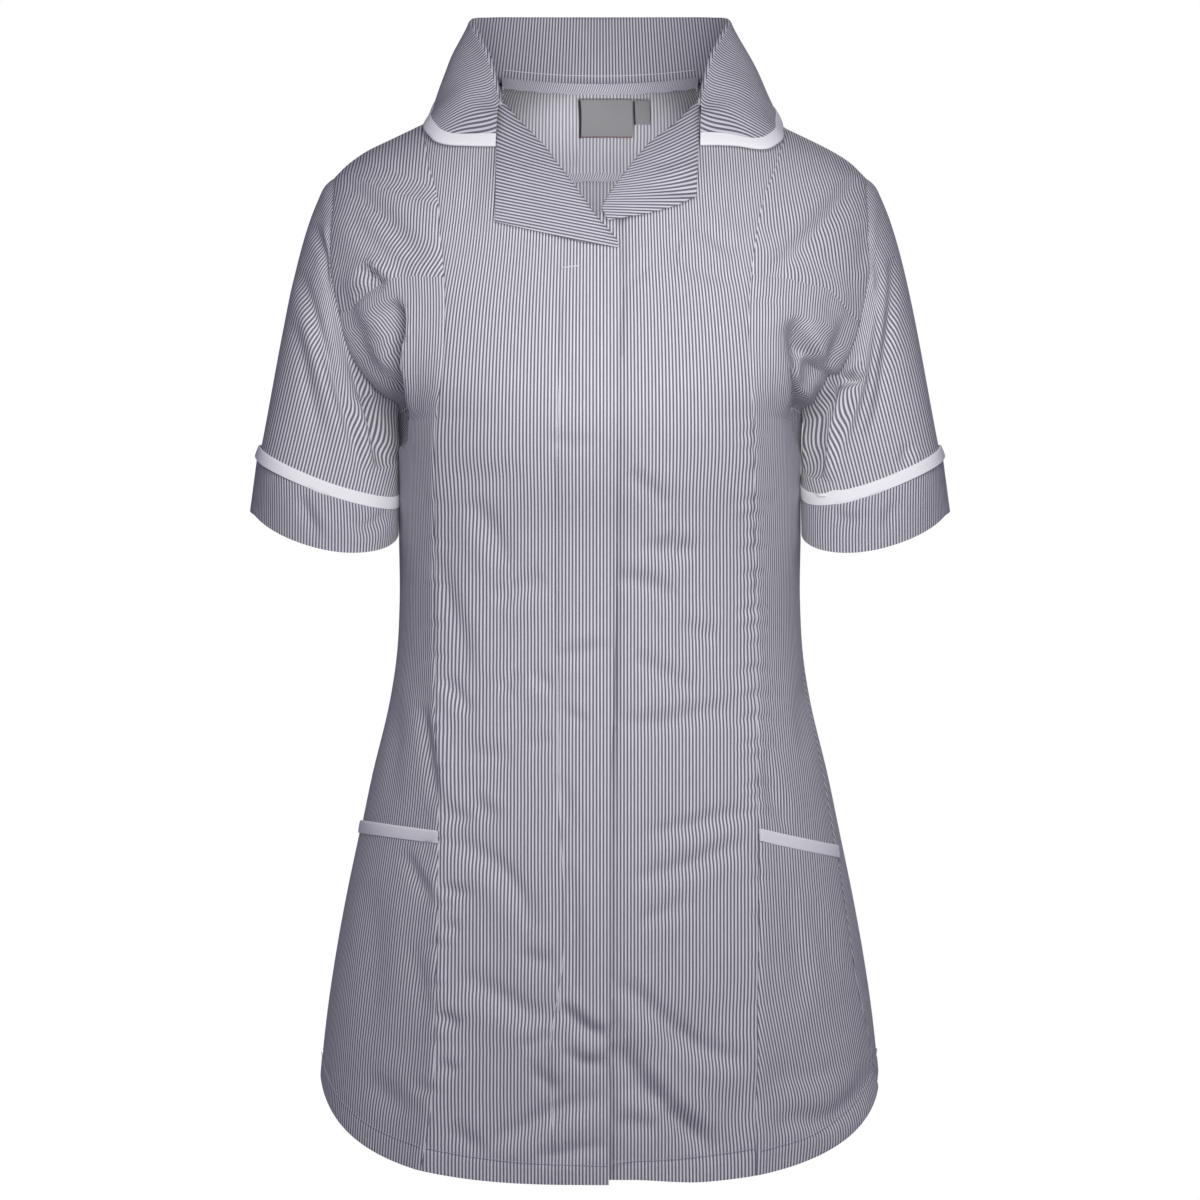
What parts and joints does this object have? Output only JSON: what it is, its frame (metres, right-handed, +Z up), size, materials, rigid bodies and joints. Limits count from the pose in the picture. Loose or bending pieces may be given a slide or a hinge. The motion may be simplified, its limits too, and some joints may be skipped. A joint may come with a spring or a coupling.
{
  "type": "work tunic",
  "caption": "Short-sleeved striped work tunic with a turned-back collar, lapels, lapped front and patch pockets, shown as worn with an empty hollow.",
  "frame": {"origin": "midway between the wearer's shoulders at shoulder-point height, where the wearer holds the tunic up", "axes": "+Z up, +X to the wearer's left, -Y towards the tunic's front"},
  "size_m": [0.4896, 0.2666, 0.8169],
  "materials": {
    "striped_cloth": "matt woven, fine lengthwise stripe",
    "white_tape": "matt woven tape",
    "label_cloth": "fine woven satin label"
  },
  "bodies": {
    "root": {"front_centre_right": "striped_cloth", "front_side_right": "striped_cloth", "front_yoke_right": "striped_cloth", "sleeve_right": "striped_cloth", "cuff_right": "striped_cloth", "lapel_right": "striped_cloth", "pocket_right": "striped_cloth", "cuff_binding_right": "white_tape", "pocket_binding_right": "white_tape", "front_centre_left": "striped_cloth", "front_side_left": "striped_cloth", "front_yoke_left": "striped_cloth", "sleeve_left": "striped_cloth", "cuff_left": "striped_cloth", "lapel_left": "striped_cloth", "pocket_left": "striped_cloth", "cuff_binding_left": "white_tape", "pocket_binding_left": "white_tape", "back_body": "striped_cloth", "back_yoke": "striped_cloth", "collar": "striped_cloth", "collar_binding": "white_tape", "label": "label_cloth", "size_tab": "label_cloth"}
  },
  "joints": []
}
